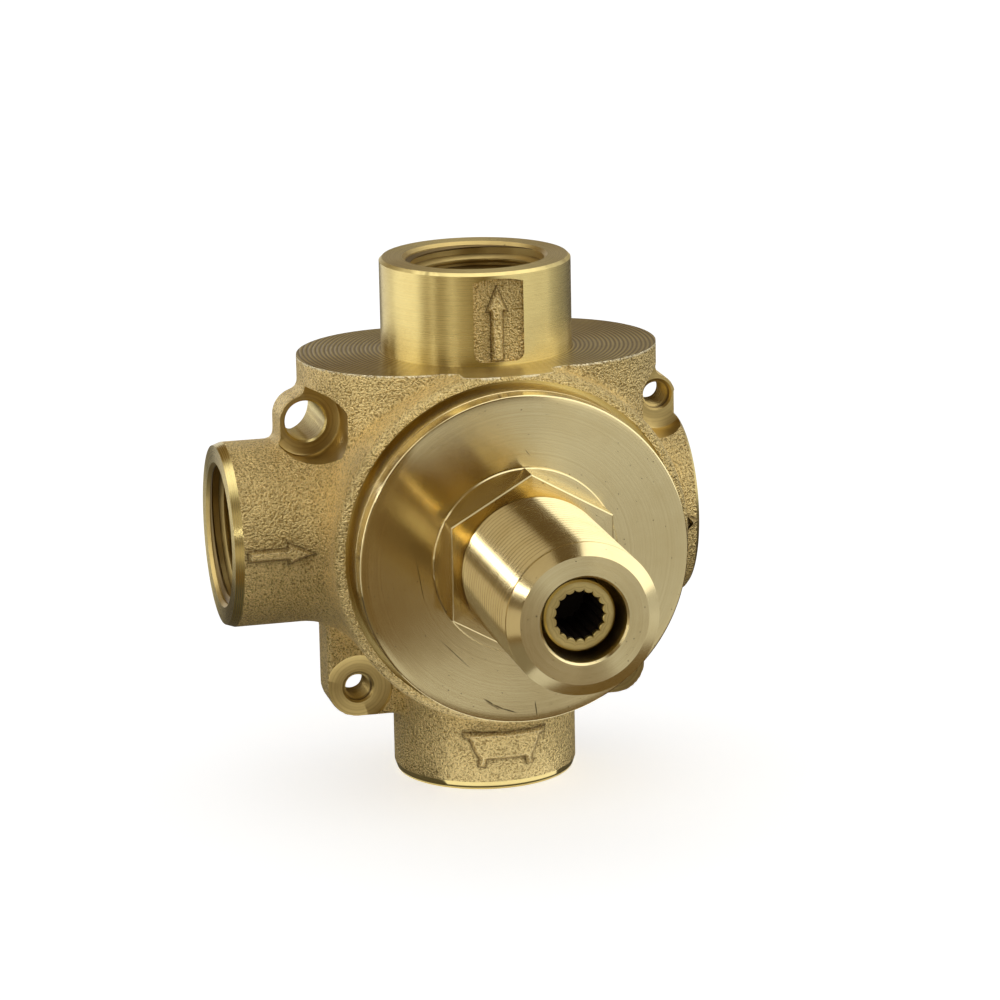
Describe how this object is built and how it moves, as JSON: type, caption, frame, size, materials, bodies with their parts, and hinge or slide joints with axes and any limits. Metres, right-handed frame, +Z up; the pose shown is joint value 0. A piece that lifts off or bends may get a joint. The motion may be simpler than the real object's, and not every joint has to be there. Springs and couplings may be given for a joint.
{
  "type": "shower diverter valve",
  "caption": "Cast brass in-wall shower diverter valve with threaded pipe ports, fixing ears, a hexagon bonnet with a threaded nose, and a splined stem that turns ceramic discs.",
  "frame": {"origin": "middle of the flat back face, on the stem's axis", "axes": "+X to the right seen from the front, +Y back into the wall, +Z up through the top port; the nose points to -Y"},
  "size_m": [0.0716, 0.0791, 0.0803],
  "materials": {
    "cast_brass": "blasted",
    "turned_brass": "turned",
    "seal_rubber": "matte",
    "disc_ceramic": "lapped",
    "bearing_plastic": "moulded",
    "pin_steel": "ground"
  },
  "bodies": {
    "valve": {"valve_body": "cast_brass", "bonnet": "turned_brass", "bonnet_o_ring": "seal_rubber", "glide_ring": "bearing_plastic", "stop_pin": "pin_steel", "fixed_disc": "disc_ceramic", "inlet_seal": "seal_rubber", "top_outlet_seal": "seal_rubber", "right_outlet_seal": "seal_rubber", "bottom_outlet_seal": "seal_rubber", "upper_locating_pin": "pin_steel", "lower_locating_pin": "pin_steel"},
    "stem_assembly": {"stem": "turned_brass", "stem_front_o_ring": "seal_rubber", "stem_rear_o_ring": "seal_rubber", "stem_thrust_washer": "bearing_plastic", "disc_carrier": "bearing_plastic", "moving_disc": "disc_ceramic"}
  },
  "joints": [
    {"name": "stem_turn", "type": "hinge", "parent": "valve", "child": "stem_assembly", "pos_m": [0, -0.042, 0], "axis": [0, 1, 0], "range_deg": [-90, 90]}
  ]
}
